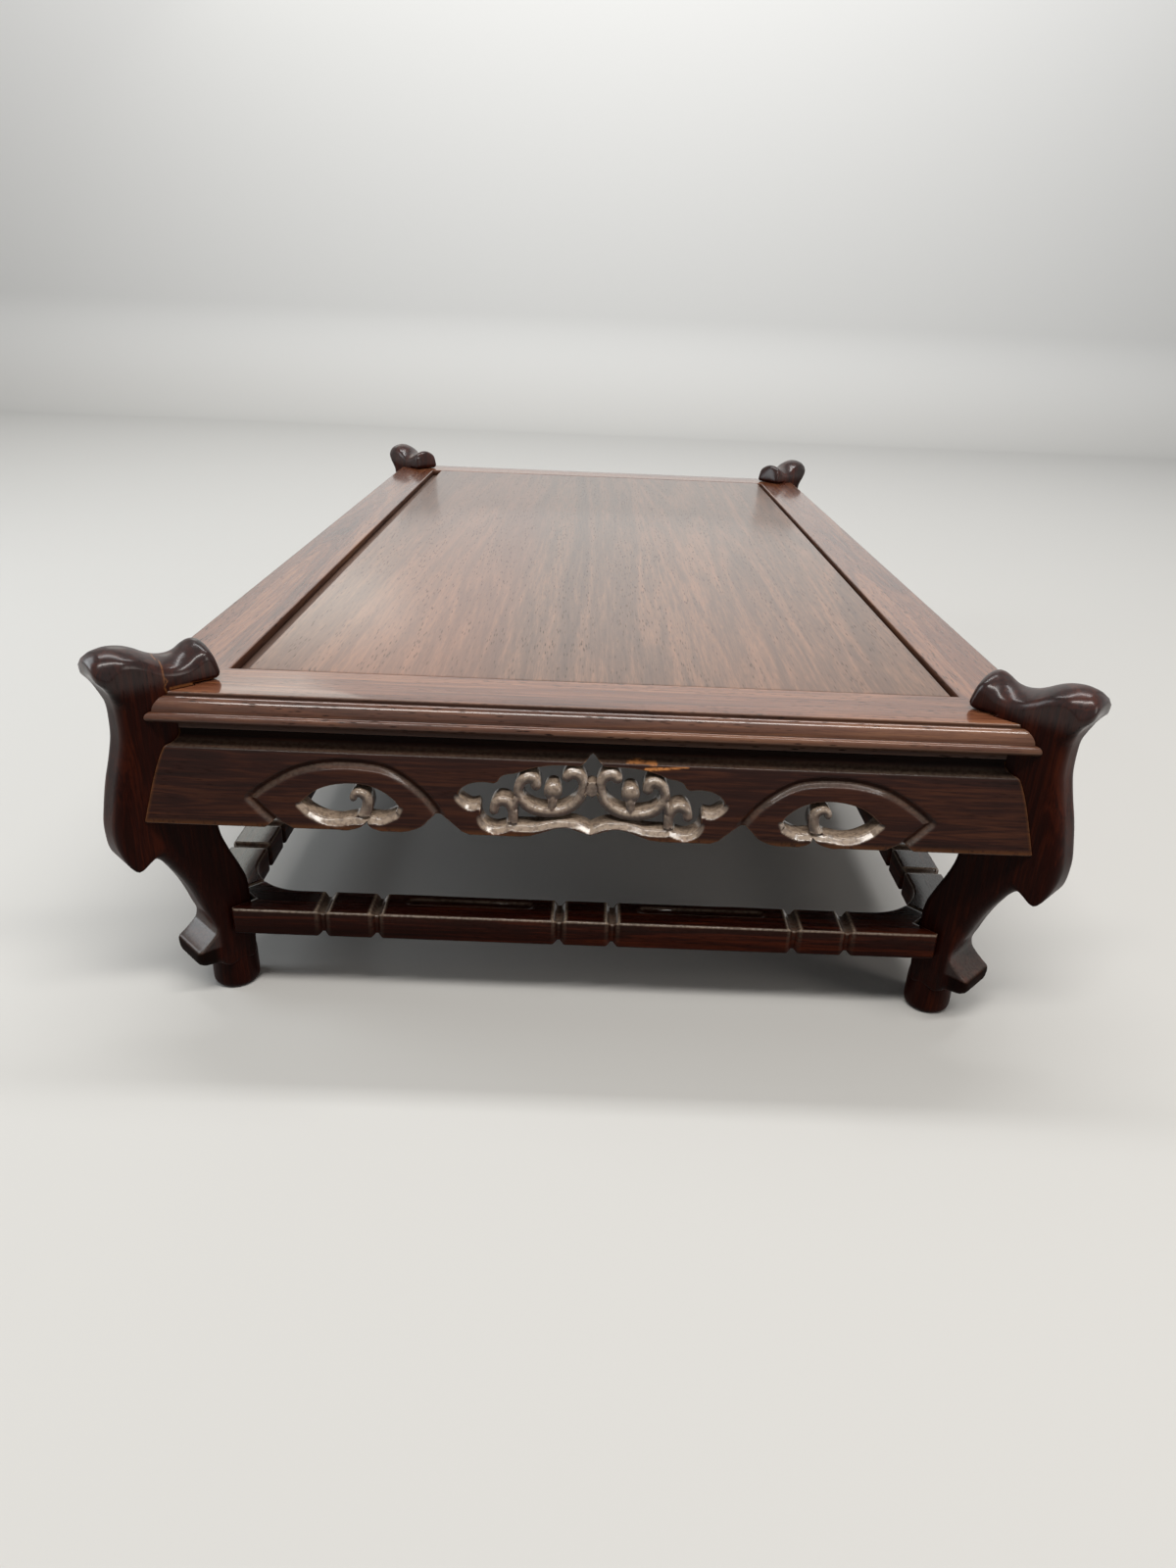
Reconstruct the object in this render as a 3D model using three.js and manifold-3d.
// Low display table in rosewood, with horned corners, pierced aprons and a stretcher frame.
// Millimetres, +Z up, the floor is z = 0, the front (short) side faces -Y.
import * as THREE from 'three';
import { mergeVertices } from 'three/addons/utils/BufferGeometryUtils.js';
import Module from 'manifold-3d';

const wasm = await Module();
wasm.setup();

// Top face, measured between the arrises of the moulded frame
const TOP_WIDTH = 336;
const TOP_LENGTH = 586;
const TOP_HEIGHT = 137;

// Clearance kept between pieces that touch
const JOINT = 0.3;

// Moulded frame around the panel
const FRAME_WIDTH = 27.8;
const FRAME_THICK = 14.5;
const MOULD_OUT = 7;
const MOULD_DROP = 9.5;
const WAIST_IN = 1.5;
const GROOVE_HIGH = 3.6;
const GROOVE_UNDER = 4;
const GROOVE_DEEP_LONG = 8.4;
const GROOVE_DEEP_SHORT = 6.6;

// Floating panel; its long edges stand clear of the frame, a little more on the left
const PANEL_THICK = 9;
const PANEL_GAP_LEFT = 7.2;
const PANEL_GAP_RIGHT = 3.5;
const PANEL_COVE = 2.4;
const TONGUE_LONG = 10.6;
const TONGUE_SHORT = 6;

// Battens let into the underside of the panel
const BATTEN_COUNT = 3;
const BATTEN_PITCH = 176;
const BATTEN_WIDTH = 16;
const BATTEN_DROP = 8;
const BATTEN_LET_IN = 2.6;
const BATTEN_ROUND = 2.4;
const DOVETAIL_FLARE = 1.4;
const BATTEN_TENON = 5;
const BATTEN_TENON_THICK = 3.4;
const BATTEN_TENON_WIDTH = 10;
const TENON_UNDER = 10;

// Aprons
const APRON_DROP = 48;
const APRON_SPLAY = 10.8;
const APRON_THICK = 8.6;
const EYE_FROM_CORNER = 79;

// The carver's outlines are drawn on squares, so many to the depth of an apron
const SQUARE_COUNT = 48;
const SQUARE = APRON_DROP / SQUARE_COUNT;

// Legs: planks standing on the diagonals of the corners
const LEG_THICK = 20;
const LEG_EDGE = 1.5;
const HORN_RISE = 16.6;
const HORN_CROWN = 4.2;
const LEG_SLOT = 20.5;
const FOOT_RADIUS = 9.6;
const FOOT_HEIGHT = 19;
const FOOT_CENTRE = 27;
const FOOT_ROUND = 2.4;
const FOOT_SIDES = 16;

// Stretcher frame
const STRETCHER_TOP = 41.5;
const STRETCHER_THICK = 11.8;
const STRETCHER_WIDTH = 17;
const STRETCHER_SET_IN = 7.2;
const STRETCHER_CORNER = 24;
const STRETCHER_EDGE = 0.9;
const NODE_GROOVE = 5.3;
const NODE_DEPTH = 1.1;
const NODE_PITCH = 21.8;
const NODE_FROM_END = 53.8;
const SLOT_WIDTH = 4.4;
const SLOT_DEPTH = 0.9;
const SLOT_FROM_INSIDE = 5.8;
const SLOT_END_GAP = 11.6;
const NODE_GROUPS_SHORT = 3;
const NODE_GROUPS_LONG = 5;

const rosewood = { roughness: 0.35, metalness: 0 };
const railWood = () => new THREE.MeshStandardMaterial({ color: 0x6d4137, ...rosewood });
const panelWood = () => new THREE.MeshStandardMaterial({ color: 0x7a4c40, ...rosewood });
const darkWood = () => new THREE.MeshStandardMaterial({ color: 0x4a2621, ...rosewood });

// Geometry helpers

const solidOf = (geometry) => {
  const bare = geometry.clone();
  bare.deleteAttribute('normal');
  bare.deleteAttribute('uv');
  const merged = mergeVertices(bare, 1e-4);
  return new wasm.Manifold(new wasm.Mesh({
    numProp: 3,
    vertProperties: new Float32Array(merged.attributes.position.array),
    triVerts: new Uint32Array(merged.index.array),
  }));
};

const geometryOf = (solid) => {
  const { vertProperties, triVerts, numProp } = solid.getMesh();
  const positions = new Float32Array((vertProperties.length / numProp) * 3);
  for (let i = 0; i < positions.length / 3; i += 1) {
    positions.set(vertProperties.subarray(i * numProp, i * numProp + 3), i * 3);
  }
  const geometry = new THREE.BufferGeometry();
  geometry.setAttribute('position', new THREE.BufferAttribute(positions, 3));
  geometry.setIndex(new THREE.BufferAttribute(new Uint32Array(triVerts), 1));
  geometry.computeVertexNormals();
  return geometry;
};

const extrude = (shape, depth, options = {}) => (
  new THREE.ExtrudeGeometry(shape, { depth, bevelEnabled: false, ...options })
);

const boxBetween = (low, high) => {
  const size = high.map((value, i) => value - low[i]);
  const middle = high.map((value, i) => (value + low[i]) / 2);
  return new THREE.BoxGeometry(...size).translate(...middle);
};

const outline = (points) => new THREE.Shape(points.map(([x, y]) => new THREE.Vector2(x, y)));

// Smooth run through a few points, sampled evenly
const smooth = (points, divisions) => (
  new THREE.SplineCurve(points.map(([x, y]) => new THREE.Vector2(x, y)))
    .getPoints(divisions)
    .map((p) => [p.x, p.y])
);

const onSquares = (points) => points.map(([x, y]) => [x * SQUARE, y * SQUARE]);
const smoothOnSquares = (points, divisions) => smooth(onSquares(points), divisions);

const underTop = (drop) => TOP_HEIGHT - drop;

// A bar that faces -Y, its profile given as [out from the arris, height], its ends mitred.
// endGap shortens the bar along its length, measured at the mitre.
const mitredBar = (profile, faceDistance, halfLength, endGap) => {
  const geometry = extrude(outline(profile), 1);
  const position = geometry.attributes.position;
  for (let i = 0; i < position.count; i += 1) {
    const out = position.getX(i);
    const height = position.getY(i);
    const end = position.getZ(i) < 0.5 ? -1 : 1;
    const along = end * (halfLength + out - endGap);
    position.setXYZ(i, -along, -(faceDistance + out), height);
  }
  return geometry;
};

const MITRE_GAP = (JOINT / 2) * Math.SQRT2;
const LEG_FACE_GAP = (LEG_THICK / 2 + JOINT) * Math.SQRT2;

// Turns leg coordinates (s inward along the diagonal, thickness, height) to a corner of a bar that faces -Y
const toCorner = (side, halfLength, faceDistance) => (
  new THREE.Matrix4()
    .makeRotationZ(side > 0 ? Math.PI * 0.75 : Math.PI * 0.25)
    .setPosition(side * halfLength, -faceDistance, 0)
);

// Room for a leg through a corner, from far outside inward to s = deep
const LEG_REACH = 60;
const cutForLegs = (solid, halfLength, faceDistance, deep, low, high) => {
  let cut = solid;
  const half = LEG_THICK / 2 + JOINT;
  for (const side of [-1, 1]) {
    const room = boxBetween([-LEG_REACH, -half, low], [deep + JOINT, half, high]);
    cut = cut.subtract(solidOf(room.applyMatrix4(toCorner(side, halfLength, faceDistance))));
  }
  return cut;
};

// The four sides as [name, distance to the face, half the length, turn about Z]
const SIDES = {
  front: { face: TOP_LENGTH / 2, half: TOP_WIDTH / 2, turn: 0 },
  right: { face: TOP_WIDTH / 2, half: TOP_LENGTH / 2, turn: Math.PI / 2 },
  back: { face: TOP_LENGTH / 2, half: TOP_WIDTH / 2, turn: Math.PI },
  left: { face: TOP_WIDTH / 2, half: TOP_LENGTH / 2, turn: -Math.PI / 2 },
};
const isLong = (side) => side.half > side.face;

const table = new THREE.Group();

const addPiece = (name, geometry, material, turn = 0) => {
  const mesh = new THREE.Mesh(geometry, material);
  mesh.name = name;
  mesh.rotation.z = turn;
  table.add(mesh);
};

// Frame members: a moulded edge outside, a groove for the panel inside

// The moulded edge as shares of how far it stands out and how far it drops
const frameProfile = (grooveDeep) => {
  const inner = -FRAME_WIDTH;
  const edge = [
    [0, 0],
    [0.13, -0.105],
    ...smooth([[0.215, -0.137], [0.457, -0.274], [0.629, -0.432], [0.686, -0.621]], 6),
    ...smooth([[0.829, -0.674], [0.986, -0.779], [1, -0.884], [0.929, -1]], 5),
  ].map(([out, rise]) => [out * MOULD_OUT, rise * MOULD_DROP]);
  return [
    ...edge,
    [-WAIST_IN, -MOULD_DROP - WAIST_IN / 3],
    [-WAIST_IN, -FRAME_THICK],
    [inner, -FRAME_THICK],
    [inner, -GROOVE_UNDER - GROOVE_HIGH],
    [inner + grooveDeep, -GROOVE_UNDER - GROOVE_HIGH],
    [inner + grooveDeep, -GROOVE_UNDER],
    [inner, -GROOVE_UNDER],
    [inner, 0],
  ].map(([out, rise]) => [out, TOP_HEIGHT + rise]).reverse();
};

const battenPlaces = Array.from(
  { length: BATTEN_COUNT },
  (_, i) => (i - (BATTEN_COUNT - 1) / 2) * BATTEN_PITCH,
);

const frameMember = (side) => {
  const deep = isLong(side) ? GROOVE_DEEP_LONG : GROOVE_DEEP_SHORT;
  let solid = solidOf(mitredBar(frameProfile(deep), side.face, side.half, MITRE_GAP));
  const below = underTop(FRAME_THICK) - 1;
  solid = cutForLegs(solid, side.half, side.face, LEG_SLOT, below, TOP_HEIGHT + 1);
  if (isLong(side)) {
    const inner = -(side.face - FRAME_WIDTH);
    const roomHalf = BATTEN_TENON_WIDTH / 2 + JOINT;
    for (const place of battenPlaces) {
      const mortise = boxBetween(
        [place - roomHalf, inner - BATTEN_TENON - JOINT, underTop(TENON_UNDER + BATTEN_TENON_THICK) - JOINT],
        [place + roomHalf, inner + 1, underTop(TENON_UNDER) + JOINT],
      );
      solid = solid.subtract(solidOf(mortise));
    }
  }
  return geometryOf(solid);
};

// Panel, with a tongue all round and dovetail channels below for the battens

const insideHalfWidth = TOP_WIDTH / 2 - FRAME_WIDTH;
const insideHalfLength = TOP_LENGTH / 2 - FRAME_WIDTH;

const dovetail = (foot, clearance) => {
  const neck = foot / 2 + clearance;
  const head = neck + DOVETAIL_FLARE;
  return outline([
    [-neck, underTop(PANEL_THICK) - 1],
    [neck, underTop(PANEL_THICK) - 1],
    [neck, underTop(PANEL_THICK)],
    [head, underTop(PANEL_THICK - BATTEN_LET_IN) + clearance],
    [-head, underTop(PANEL_THICK - BATTEN_LET_IN) + clearance],
    [-neck, underTop(PANEL_THICK)],
  ]);
};

// Stands a profile in the (Y, Z) plane and runs it along X between two places
const runAlongX = (shape, from, to) => (
  extrude(shape, to - from).applyMatrix4(
    new THREE.Matrix4().makeBasis(
      new THREE.Vector3(0, 1, 0),
      new THREE.Vector3(0, 0, 1),
      new THREE.Vector3(1, 0, 0),
    ).setPosition(from, 0, 0),
  )
);

const panel = () => {
  const left = -insideHalfWidth + PANEL_GAP_LEFT;
  const right = insideHalfWidth - PANEL_GAP_RIGHT;
  const tongueTop = -GROOVE_UNDER - JOINT;
  const tongueFoot = -GROOVE_UNDER - GROOVE_HIGH + JOINT;
  const across = [
    [left, 0],
    [left - PANEL_COVE * 0.7, tongueTop * 0.37],
    [left - PANEL_COVE, tongueTop],
    [left - TONGUE_LONG, tongueTop],
    [left - TONGUE_LONG, tongueFoot],
    [left, tongueFoot],
    [left, -PANEL_THICK],
    [right, -PANEL_THICK],
    [right, tongueFoot],
    [right + TONGUE_LONG, tongueFoot],
    [right + TONGUE_LONG, tongueTop],
    [right + PANEL_COVE, tongueTop],
    [right + PANEL_COVE * 0.7, tongueTop * 0.37],
    [right, 0],
  ].map(([x, rise]) => [x, TOP_HEIGHT + rise]);
  const end = insideHalfLength - JOINT;
  const reach = insideHalfLength + TONGUE_SHORT;
  const board = extrude(outline(across), 2 * reach).rotateX(Math.PI / 2).translate(0, reach, 0);
  let solid = solidOf(board);
  const wide = TOP_WIDTH;
  for (const side of [-1, 1]) {
    const [near, far] = side > 0 ? [end, reach + 1] : [-reach - 1, -end];
    const above = boxBetween([-wide, near, TOP_HEIGHT + tongueTop], [wide, far, TOP_HEIGHT + 1]);
    const below = boxBetween([-wide, near, 0], [wide, far, TOP_HEIGHT + tongueFoot]);
    solid = solid.subtract(solidOf(above)).subtract(solidOf(below));
  }
  for (const place of battenPlaces) {
    const channel = runAlongX(dovetail(BATTEN_WIDTH, JOINT), -wide, wide).translate(0, place, 0);
    solid = solid.subtract(solidOf(channel));
  }
  return geometryOf(solid);
};

const batten = () => {
  const end = insideHalfWidth - JOINT;
  const bottom = underTop(PANEL_THICK + BATTEN_DROP);
  const neck = BATTEN_WIDTH / 2;
  const round = BATTEN_ROUND;
  const leftCorner = smooth([[-neck, bottom + round], [-neck + round * 0.3, bottom + round * 0.3],
    [-neck + round, bottom]], 3);
  const body = outline([
    [-neck, underTop(PANEL_THICK) - JOINT],
    ...leftCorner,
    ...leftCorner.map(([x, y]) => [-x, y]).reverse(),
    [neck, underTop(PANEL_THICK) - JOINT],
  ]);
  let solid = solidOf(runAlongX(body, -end, end));
  const tongueSide = insideHalfWidth - Math.max(PANEL_GAP_LEFT, PANEL_GAP_RIGHT) - JOINT;
  const key = runAlongX(dovetail(BATTEN_WIDTH - 2 * JOINT, 0), -tongueSide, tongueSide);
  solid = solid.add(solidOf(key));
  const tenon = boxBetween(
    [-end - BATTEN_TENON, -BATTEN_TENON_WIDTH / 2, underTop(TENON_UNDER + BATTEN_TENON_THICK)],
    [end + BATTEN_TENON, BATTEN_TENON_WIDTH / 2, underTop(TENON_UNDER)],
  );
  return geometryOf(solid.add(solidOf(tenon)));
};

// Aprons: one splayed profile cut by a pierced elevation

const apronProfile = () => {
  const top = -FRAME_THICK - JOINT;
  const face = smooth([[-0.6 * SQUARE, top], ...onSquares([[0.6, -16], [2.5, -18.4], [4.6, -23.6], [7, -32]]),
    [APRON_SPLAY, -APRON_DROP]], 5);
  const back = smooth([[APRON_SPLAY - APRON_THICK, -APRON_DROP], ...onSquares([[-1.4, -32], [-4.4, -22]]),
    [-APRON_THICK, top]], 3);
  return [...face, ...back].map(([out, rise]) => [out, TOP_HEIGHT + rise]).reverse();
};

// A ribbon of changing width laid along a smooth line, both in squares
const RIBBON_STEP = 3;
const ribbon = (line, widths) => {
  const curve = new THREE.SplineCurve(onSquares(line).map(([x, y]) => new THREE.Vector2(x, y)));
  const count = Math.ceil(curve.getLength() / RIBBON_STEP);
  const near = [];
  const far = [];
  for (let i = 0; i <= count; i += 1) {
    const t = i / count;
    const p = curve.getPoint(t);
    const d = curve.getTangent(t);
    const place = t * (widths.length - 1);
    const k = Math.min(Math.floor(place), widths.length - 2);
    const half = (THREE.MathUtils.lerp(widths[k], widths[k + 1], place - k) * SQUARE) / 2;
    near.push([p.x - d.y * half, p.y + d.x * half]);
    far.push([p.x + d.y * half, p.y - d.x * half]);
  }
  return outline([...far, ...near.reverse()]);
};

// Outlines of the pierced work, as [along from the centre, rise from the top face] in squares.
// The foot of an apron is the cartouche's, the eye's, and two slopes between them where there is room.
const BOTTOM = -SQUARE_COUNT;
const CARTOUCHE_HALF = 57.5;
const CARTOUCHE_SLOPE = 67;
const cartoucheFoot = [
  ...smoothOnSquares([[0, -46.8], [3, -45.8], [8, -44.4], [13, -44.7], [18, -46.3], [22, -47.6]], 8),
  ...onSquares([[44.5, BOTTOM]]),
  ...smoothOnSquares([[47.5, -46.9], [50.5, -44.4], [54, -41.8], [CARTOUCHE_HALF, -41.1]], 5),
];
const slopeDown = smoothOnSquares([[60, -43.4], [62.5, -45.8], [CARTOUCHE_SLOPE, BOTTOM]], 4);
const EYE_INNER = 31.5;
const EYE_SLOPE = 44.5;
const slopeUp = smoothOnSquares([[-EYE_SLOPE, BOTTOM], [-41.5, -46.9], [-38.5, -44.4], [-35, -41.8],
  [-EYE_INNER, -41.1]], 5);
const eyeFoot = [
  ...smoothOnSquares([[-29, -43.4], [-26.5, -45.8], [-22, -47.6]], 4),
  ...smoothOnSquares([[-11, -47.8], [-8, -46.8], [-6.3, -44.9]], 3),
  ...smoothOnSquares([[-3.5, -46.8], [0.5, BOTTOM]], 2),
  ...smoothOnSquares([[20.5, BOTTOM], [24, -46.2], [27, -45]], 3),
  ...onSquares([[31, BOTTOM]]),
];
const eyeHole = [
  ...smoothOnSquares([[18, -38.4], [13, -34.3], [7.5, -32], [1, -31], [-6, -31.3], [-12, -33.3],
    [-16.5, -36.5], [-18.2, -38.8]], 12),
  ...smoothOnSquares([[-16.4, -41.4], [-12, -43.2], [-7.7, -42.8], [0, -43.6], [5, -44.5],
    [10, -43.6], [15, -41]], 9),
];
const eyeHook = ribbon(
  [[2, -46.4], [-3, -45], [-5.6, -42.2], [-6.5, -39], [-6, -36.2], [-4, -34.7], [-2, -35], [-1.3, -36.2]],
  [3, 3.6, 3.8, 3.6, 3.2, 2.8, 2.4, 1.8],
);
const cartoucheHole = [
  ...onSquares([[0, -18.2], [4.4, -21.7]]),
  ...smoothOnSquares([[10, -21.7], [15, -21.9], [20, -22.6], [24, -23.6], [28, -25], [31.5, -25.6],
    [33.6, -26.6], [34.6, -28.2]], 9),
  ...smoothOnSquares([[36, -28.9], [40, -28.6], [44, -29.1], [47.5, -30.8], [49, -33.2], [47, -35.6],
    [44.3, -37], [41.4, -36.4]], 10),
  ...smoothOnSquares([[40.6, -38.4], [40.6, -41], [39, -43.7], [35.5, -45.2], [32, -44.6],
    [29.6, -43.6]], 7),
  ...smoothOnSquares([[27.5, -44], [20.5, -43.8], [15, -42.4], [10, -41.9], [5, -42.2], [0, -44.2]], 9),
];
const bigScroll = ribbon(
  [[20.6, -29.4], [21.2, -27.6], [23.2, -26.9], [25.6, -28], [27, -30.6], [26.9, -33],
    [25.4, -35.6], [22, -38], [17, -39], [11.5, -38.6], [7, -36.6], [4.3, -33.6],
    [3.2, -30.2], [3.4, -27.4], [5, -25.3], [7.5, -24.8], [9.2, -26]],
  [2.2, 2.8, 3, 3, 2.8, 2.6, 3, 3, 3, 3, 3, 3, 2.8, 2.8, 2.6, 2.4, 1.8],
);
const smallScroll = ribbon(
  [[29.4, -45.6], [28.7, -42.2], [29.1, -38.6], [30.6, -36.2], [33.2, -35.5], [35.2, -36.7],
    [35.8, -39]],
  [3.2, 3, 3, 3, 2.8, 2.4, 1.8],
);
const scrollNeck = ribbon([[26.6, -33.4], [27.9, -35.6], [28.9, -38.2]], [2.6, 2.2, 2.4]);
const bud = new THREE.Shape().absarc(14.3 * SQUARE, -31.8 * SQUARE, 3.1 * SQUARE, 0, 2 * Math.PI);
const budStem = ribbon([[14.3, -32], [14.4, -35], [14.8, -38.6]], [4, 3.2, 3.4]);
const bridge = outline(onSquares([[-3.2, -28.6], [-3.2, -32], [0, -33.6], [3.2, -32], [3.2, -28.6],
  [0, -27.6]]));

// Stands an elevation upright and runs it through the apron, drawn in to a share of its width
const THROUGH = 60;
const ARC_SEGMENTS = 8;
const upright = (shape, face, along = 0, share = 1) => solidOf(
  extrude(shape, THROUGH, { curveSegments: ARC_SEGMENTS })
    .rotateX(Math.PI / 2)
    .scale(share, 1, 1)
    .translate(along, -face + THROUGH / 2, TOP_HEIGHT),
);
const mirrorPoints = (points) => points.map(([x, y]) => [-x, y]).reverse();
const mirror = (shape) => outline(mirrorPoints(shape.getPoints(ARC_SEGMENTS).map((p) => [p.x, p.y])));

const apron = (side) => {
  const eyeAt = side.half - EYE_FROM_CORNER;
  const atEye = ([x, y]) => [x + eyeAt, y];
  const drawnIn = Math.min(1, (eyeAt - EYE_INNER * SQUARE) / (CARTOUCHE_HALF * SQUARE));
  const slopesFit = eyeAt > (CARTOUCHE_SLOPE + EYE_SLOPE) * SQUARE;
  const foot = [
    ...cartoucheFoot.map(([x, y]) => [x * drawnIn, y]),
    ...(slopesFit ? [...slopeDown, ...slopeUp.map(atEye)] : []),
    ...eyeFoot.map(atEye),
    [side.half + THROUGH, -APRON_DROP],
  ];
  const elevation = outline([...mirrorPoints(foot.slice(1)), ...foot, [side.half + THROUGH, 0],
    [-side.half - THROUGH, 0]]);
  let solid = upright(elevation, side.face);
  const opening = outline([...mirrorPoints(cartoucheHole.slice(1, -1)).reverse(),
    ...cartoucheHole.slice().reverse()]);
  solid = solid.subtract(upright(opening, side.face, 0, drawnIn));
  solid = solid.add(upright(bridge, side.face, 0, drawnIn));
  for (const turned of [(shape) => shape, mirror]) {
    const place = turned === mirror ? -eyeAt : eyeAt;
    solid = solid.subtract(upright(turned(outline(eyeHole)), side.face, place));
    solid = solid.add(upright(turned(eyeHook), side.face, place));
    for (const scroll of [bigScroll, scrollNeck, smallScroll, budStem, bud]) {
      solid = solid.add(upright(turned(scroll), side.face, 0, drawnIn));
    }
  }
  const bar = solidOf(mitredBar(apronProfile(), side.face, side.half, LEG_FACE_GAP));
  return geometryOf(bar.intersect(solid));
};

// Legs: the profile in the plane of the diagonal, as [inward, height]

const SHIN_INSIDE = 33.3 * SQUARE;
const legProfile = () => {
  const raised = (points) => points.map(([s, rise]) => [s, TOP_HEIGHT + rise]);
  const hornShares = [[-8, -0.04], [-10.4, 0.3], [-14, 0.65], [-13.3, 0.79], [-10.5, 0.92], [-5, 1],
    [0, 0.97], [4, 0.89], [8, 0.755], [12, 0.655], [16.5, 0.625], [20.5, 0.68], [24, 0.8],
    [26.6, 0.85], [28.9, 0.78], [30.4, 0.58], [31.2, 0.28]];
  const horn = smooth([
    ...hornShares.map(([s, share]) => [s * SQUARE, share * HORN_RISE]),
    [31.4 * SQUARE, JOINT],
  ], 20);
  const outer = smoothOnSquares([[-8, -0.7], [-5.6, -4.7], [-4.5, -9.5], [-4.7, -17.5], [-6.7, -26.2],
    [-9.4, -35.2], [-11.7, -45], [-12.8, -53], [-13, -58.5], [-12.4, -63.7]], 8);
  const knee = smoothOnSquares([[-12.4, -63.7], [-10.8, -64.3], [-8.5, -63.9], [-5, -63.9],
    [-2, -64.9], [0.4, -67], [2.7, -70.6]], 5);
  const shin = smooth([
    ...raised(onSquares([[2.7, -70.6], [7.9, -79.9], [11, -87]])),
    ...onSquares([[14, 41.6], [16.4, 36], [16.9, 33.4], [16.2, 30.6], [13.2, 27.8], [10.4, 25.8],
      [8, 24.5]]),
  ], 9);
  const toe = smoothOnSquares([[8, 24.5], [7.5, 22.2], [7.6, 20], [8.5, 18], [10.5, 16.6],
    [13.7, 15.9], [17.5, 15.2]], 4);
  const inner = smooth([
    [SHIN_INSIDE, 23 * SQUARE],
    ...onSquares([[33.2, 32], [32.7, 42], [32.3, 50.7]]),
    ...raised(onSquares([[29.9, -79], [25.8, -69], [23.4, -60.5], [23.2, -50]])),
  ], 6);
  const [postInside] = inner[inner.length - 1];
  return [
    ...raised(horn).reverse(),
    ...raised(outer).slice(1),
    ...raised(knee).slice(1),
    ...shin.slice(1),
    ...toe.slice(1),
    [FOOT_CENTRE - 6 * SQUARE, 13 * SQUARE],
    [FOOT_CENTRE + 6 * SQUARE, 13 * SQUARE],
    ...inner,
    [postInside, underTop(FRAME_THICK) - JOINT],
    [LEG_SLOT, underTop(FRAME_THICK) - JOINT],
    [LEG_SLOT, TOP_HEIGHT + JOINT],
  ];
};

const LEG_STEPS = 2;
const HORN_BLEND = 9;
const HORN_BLEND_FROM = 1;
const leg = () => {
  const plank = extrude(outline(legProfile()), LEG_THICK - 2 * LEG_EDGE, {
    steps: LEG_STEPS,
    bevelEnabled: true,
    bevelThickness: LEG_EDGE,
    bevelSize: LEG_EDGE,
    bevelOffset: -LEG_EDGE,
    bevelSegments: 2,
  });
  plank.translate(0, 0, -(LEG_THICK / 2 - LEG_EDGE)).rotateX(Math.PI / 2);
  const position = plank.attributes.position;
  for (let i = 0; i < position.count; i += 1) {
    const lift = THREE.MathUtils.smoothstep(position.getZ(i) - TOP_HEIGHT, HORN_BLEND_FROM, HORN_BLEND);
    const across = position.getY(i) / (LEG_THICK / 2);
    position.setZ(i, position.getZ(i) - HORN_CROWN * lift * across * across);
  }
  const round = FOOT_ROUND;
  const foot = [[0, 0], [FOOT_RADIUS - round, 0], [FOOT_RADIUS - 0.3 * round, 0.33 * round],
    [FOOT_RADIUS, 1.1 * round], [FOOT_RADIUS, FOOT_HEIGHT - 1.7 * round],
    [FOOT_RADIUS - 0.9 * round, FOOT_HEIGHT], [0, FOOT_HEIGHT]];
  const turned = new THREE.LatheGeometry(foot.map(([r, z]) => new THREE.Vector2(r, z)), FOOT_SIDES)
    .rotateX(Math.PI / 2)
    .translate(FOOT_CENTRE, 0, 0);
  return geometryOf(solidOf(plank).add(solidOf(turned)));
};

// Stretcher frame: mitred behind the legs, with rounded inner corners and grooved like bamboo joints

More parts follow.
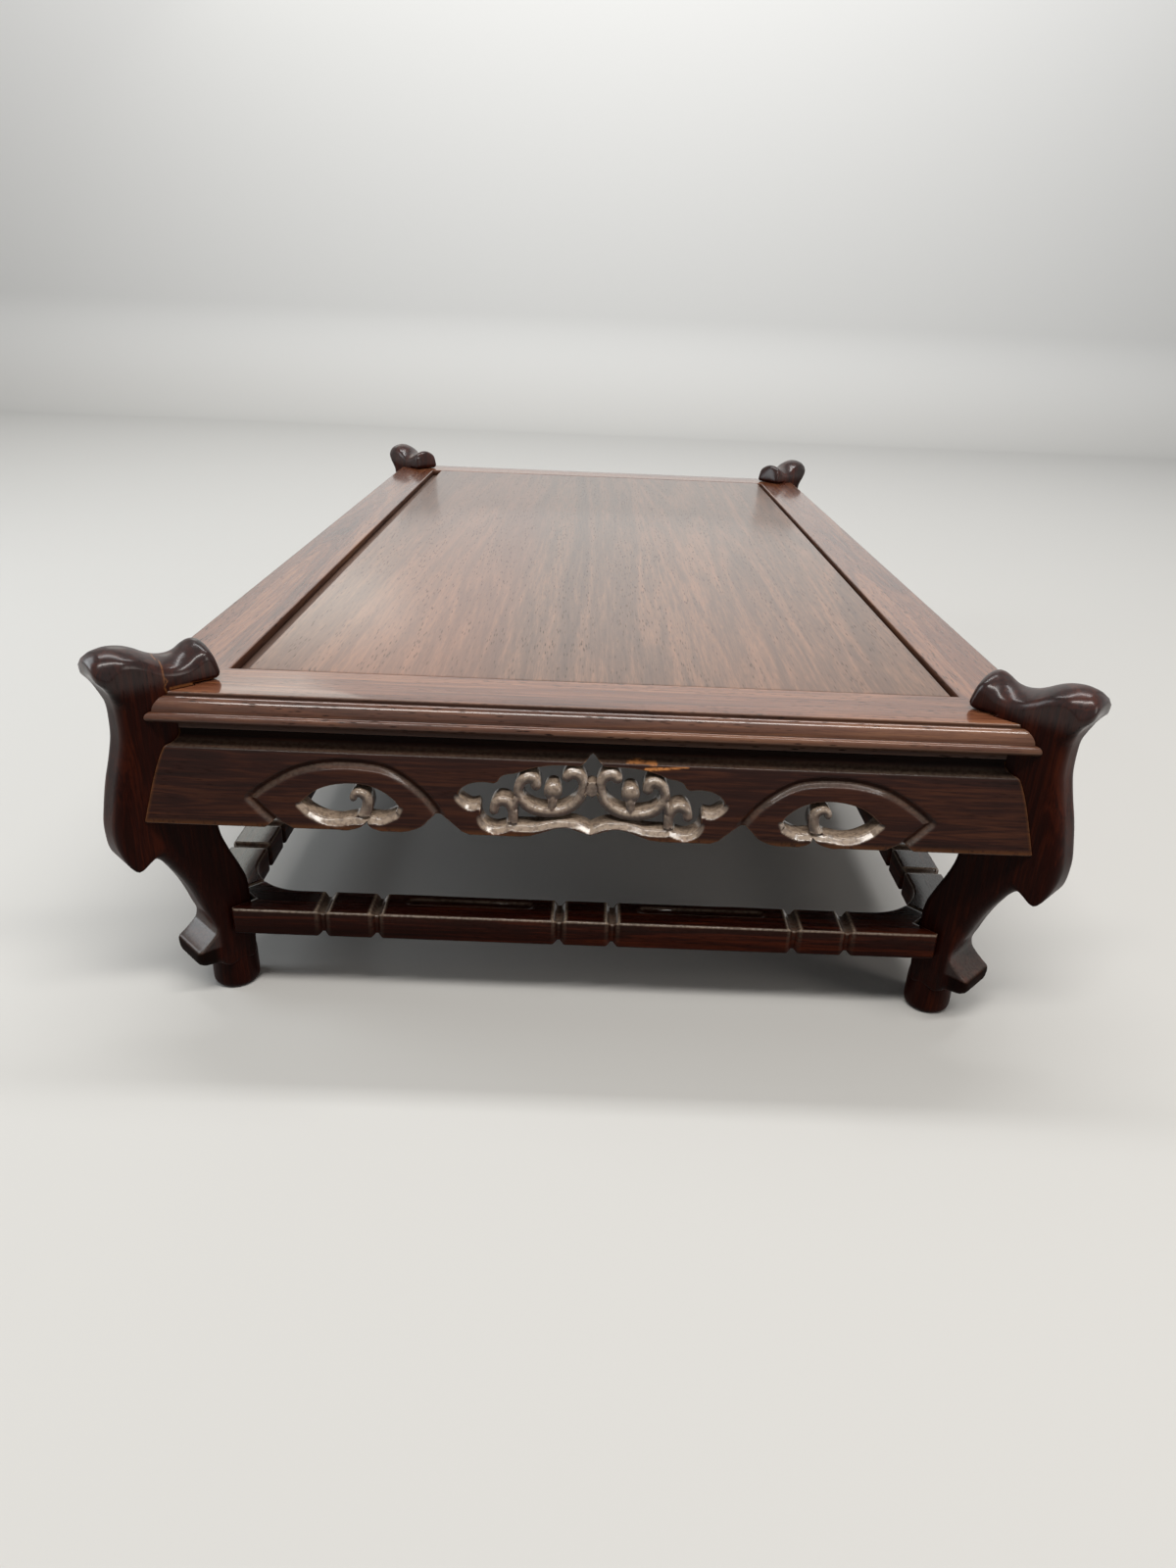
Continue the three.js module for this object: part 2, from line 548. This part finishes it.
const stretcher = (side) => {
  const outerY = side.face - STRETCHER_SET_IN;
  const innerY = outerY - STRETCHER_WIDTH;
  const outerX = side.half - STRETCHER_SET_IN;
  const innerX = outerX - STRETCHER_WIDTH;
  const r = STRETCHER_CORNER;
  const trim = Math.asin(JOINT / 2 / r);
  const plan = new THREE.Shape();
  plan.moveTo(-outerX + MITRE_GAP, -outerY);
  plan.lineTo(outerX - MITRE_GAP, -outerY);
  plan.absarc(innerX - r, -innerY + r, r, -Math.PI / 4 - trim, -Math.PI / 2, true);
  plan.absarc(-innerX + r, -innerY + r, r, -Math.PI / 2, -Math.PI * 0.75 + trim, true);
  const low = STRETCHER_TOP - STRETCHER_THICK;
  let solid = solidOf(extrude(plan, STRETCHER_THICK, { curveSegments: 8 }).translate(0, 0, low));

  const e = STRETCHER_EDGE;
  const out = -STRETCHER_SET_IN;
  const deepIn = out - STRETCHER_WIDTH - 2 * r;
  const rounded = [[deepIn, low], [out - e, low], [out, low + e], [out, STRETCHER_TOP - e],
    [out - 0.3 * e, STRETCHER_TOP - 0.3 * e], [out - e, STRETCHER_TOP], [deepIn, STRETCHER_TOP]];
  solid = solid.intersect(solidOf(mitredBar(rounded, side.face, side.half, 0)));

  const groups = isLong(side) ? NODE_GROUPS_LONG : NODE_GROUPS_SHORT;
  const lastGroup = outerX - NODE_FROM_END - NODE_PITCH / 2;
  const groupPitch = (2 * lastGroup) / (groups - 1);
  const middleY = -(outerY + innerY) / 2;
  const half = NODE_GROOVE / 2;
  for (let g = 0; g < groups; g += 1) {
    const centre = -lastGroup + g * groupPitch;
    for (const at of [centre - NODE_PITCH / 2, centre + NODE_PITCH / 2]) {
      const ring = solidOf(boxBetween(
        [at - half, middleY - STRETCHER_WIDTH, low - 2],
        [at + half, middleY + STRETCHER_WIDTH, STRETCHER_TOP + 2],
      )).subtract(solidOf(boxBetween(
        [at - half - 1, middleY - STRETCHER_WIDTH / 2 + NODE_DEPTH, low + NODE_DEPTH],
        [at + half + 1, middleY + STRETCHER_WIDTH / 2 - NODE_DEPTH, STRETCHER_TOP - NODE_DEPTH],
      )));
      solid = solid.subtract(ring);
    }
    if (g < groups - 1) {
      const from = centre + NODE_PITCH / 2 + SLOT_END_GAP + SLOT_WIDTH / 2;
      const to = centre + groupPitch - NODE_PITCH / 2 - SLOT_END_GAP - SLOT_WIDTH / 2;
      const slot = new THREE.Shape();
      const slotY = -innerY - SLOT_FROM_INSIDE;
      slot.absarc(to, slotY, SLOT_WIDTH / 2, -Math.PI / 2, Math.PI / 2, false);
      slot.absarc(from, slotY, SLOT_WIDTH / 2, Math.PI / 2, Math.PI * 1.5, false);
      solid = solid.subtract(solidOf(
        extrude(slot, SLOT_DEPTH + 1, { curveSegments: 6 }).translate(0, 0, STRETCHER_TOP - SLOT_DEPTH),
      ));
    }
  }
  solid = cutForLegs(solid, side.half, side.face, SHIN_INSIDE, low - 1, STRETCHER_TOP + 1);
  return geometryOf(solid);
};

// Assembly

addPiece('panel', panel(), panelWood());
battenPlaces.forEach((place, i) => {
  const geometry = batten().translate(0, place, 0);
  addPiece(`batten_${i + 1}`, geometry, darkWood());
});
for (const [name, side] of Object.entries(SIDES)) {
  const member = isLong(side) ? 'stile' : 'rail';
  addPiece(`frame_${member}_${name}`, frameMember(side), railWood(), side.turn);
  addPiece(`apron_${name}`, apron(side), darkWood(), side.turn);
  addPiece(`stretcher_${name}`, stretcher(side), darkWood(), side.turn);
}
for (const [endName, y] of [['front', -1], ['back', 1]]) {
  for (const [sideName, x] of [['left', -1], ['right', 1]]) {
    const mesh = new THREE.Mesh(leg(), darkWood());
    mesh.name = `leg_${endName}_${sideName}`;
    mesh.position.set((x * TOP_WIDTH) / 2, (y * TOP_LENGTH) / 2, 0);
    mesh.rotation.z = Math.atan2(-y, -x);
    table.add(mesh);
  }
}

export default table;
